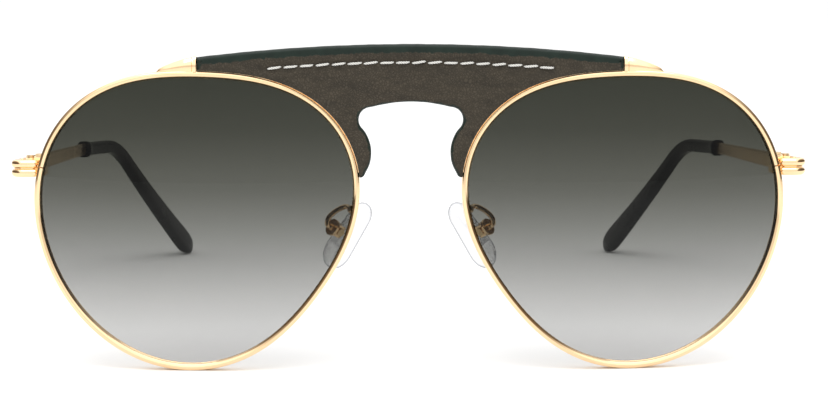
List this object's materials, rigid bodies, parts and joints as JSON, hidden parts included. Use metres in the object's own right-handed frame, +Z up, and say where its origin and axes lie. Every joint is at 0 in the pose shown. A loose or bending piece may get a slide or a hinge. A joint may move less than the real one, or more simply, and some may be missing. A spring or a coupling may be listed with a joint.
{
  "type": "aviator sunglasses",
  "caption": "Wire-rim aviator sunglasses with gradient lenses, a stitched leather keyhole bridge, folding temples with moulded tips, and screw-on nose pads.",
  "frame": {"origin": "centre of the bounding box at its base, on the table that the open sunglasses stand on", "axes": "+X to the wearer's left, across the front; -Y the way the wearer looks, out through the lenses; +Z up"},
  "size_m": [0.1382, 0.1354, 0.0564],
  "materials": {
    "gold": "polished gold plating",
    "screw": "polished",
    "lens": "smoke grey, darker at the top",
    "leather": "fine pebbled grain",
    "edge_paint": "painted edge, satin",
    "thread": "matte",
    "tip": "polished acetate",
    "pad": "clear silicone",
    "pad_insert": "clear hard plastic"
  },
  "bodies": {
    "front": {"bridge_plate": "gold", "leather_front": "leather", "leather_back": "leather", "leather_edge": "edge_paint", "stitching": "thread", "left_rim": "gold", "right_rim": "gold", "left_lens": "lens", "right_lens": "lens", "left_brow_cap": "gold", "right_brow_cap": "gold", "left_end_piece": "gold", "right_end_piece": "gold", "left_rim_lock_upper": "gold", "right_rim_lock_upper": "gold", "left_rim_lock_lower": "gold", "right_rim_lock_lower": "gold", "left_rim_lock_screw": "screw", "right_rim_lock_screw": "screw", "left_front_hinge": "gold", "right_front_hinge": "gold", "left_hinge_screw": "screw", "right_hinge_screw": "screw", "left_pad_arm": "gold", "right_pad_arm": "gold", "left_pad_box": "gold", "right_pad_box": "gold", "left_pad_screw": "screw", "right_pad_screw": "screw"},
    "left_temple": {"left_temple": "gold", "left_temple_tip": "tip", "left_temple_hinge": "gold"},
    "right_temple": {"right_temple": "gold", "right_temple_tip": "tip", "right_temple_hinge": "gold"},
    "left_pad": {"left_nose_pad": "pad", "left_pad_insert": "pad_insert"},
    "right_pad": {"right_nose_pad": "pad", "right_pad_insert": "pad_insert"}
  },
  "joints": [
    {"name": "left_temple_fold", "type": "hinge", "parent": "front", "child": "left_temple", "pos_m": [0.0661, -0.05598, 0.0346], "axis": [0, 0.0628, 0.998], "range_deg": [0, 75]},
    {"name": "right_temple_fold", "type": "hinge", "parent": "front", "child": "right_temple", "pos_m": [-0.0661, -0.05598, 0.0346], "axis": [0, -0.0628, -0.998], "range_deg": [0, 82.5]},
    {"name": "left_pad_rock", "type": "hinge", "parent": "front", "child": "left_pad", "pos_m": [0.01264, -0.05968, 0.02384], "axis": [0.481, 0.8192, 0.3124], "range_deg": [-10, 10]},
    {"name": "right_pad_rock", "type": "hinge", "parent": "front", "child": "right_pad", "pos_m": [-0.01264, -0.05968, 0.02384], "axis": [-0.481, 0.8192, 0.3124], "range_deg": [-10, 10]}
  ]
}
